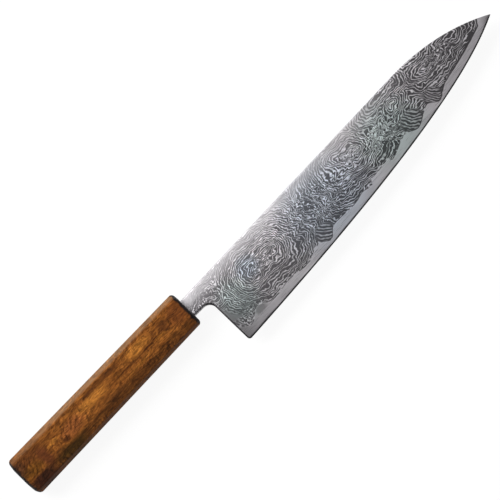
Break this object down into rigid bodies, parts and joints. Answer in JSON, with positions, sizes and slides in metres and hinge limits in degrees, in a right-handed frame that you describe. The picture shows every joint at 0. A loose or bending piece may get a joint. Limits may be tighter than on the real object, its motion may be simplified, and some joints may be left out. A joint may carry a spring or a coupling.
{
  "type": "chef's knife",
  "caption": "Chef's knife with a laminated, patterned steel blade, a hidden tang and a tapered octagonal wooden handle.",
  "frame": {"origin": "middle of the bounding box, level with the lowest edge of the handle's lower facet", "axes": "+X along the handle's axis to the tip, +Y towards the spine, +Z out of the blade's right face; the knife lies on its left side"},
  "size_m": [0.3938, 0.0542, 0.021],
  "materials": {
    "core_steel": "satin, fine scratches along the edge",
    "patterned_steel": "etched layered pattern, satin",
    "adhesive": "cured, smooth",
    "handle_wood": "oiled, figured grain along the handle"
  },
  "bodies": {
    "root": {"core_steel": "core_steel", "right_cladding": "patterned_steel", "left_cladding": "patterned_steel", "tang_bedding": "adhesive", "handle": "handle_wood"}
  },
  "joints": []
}
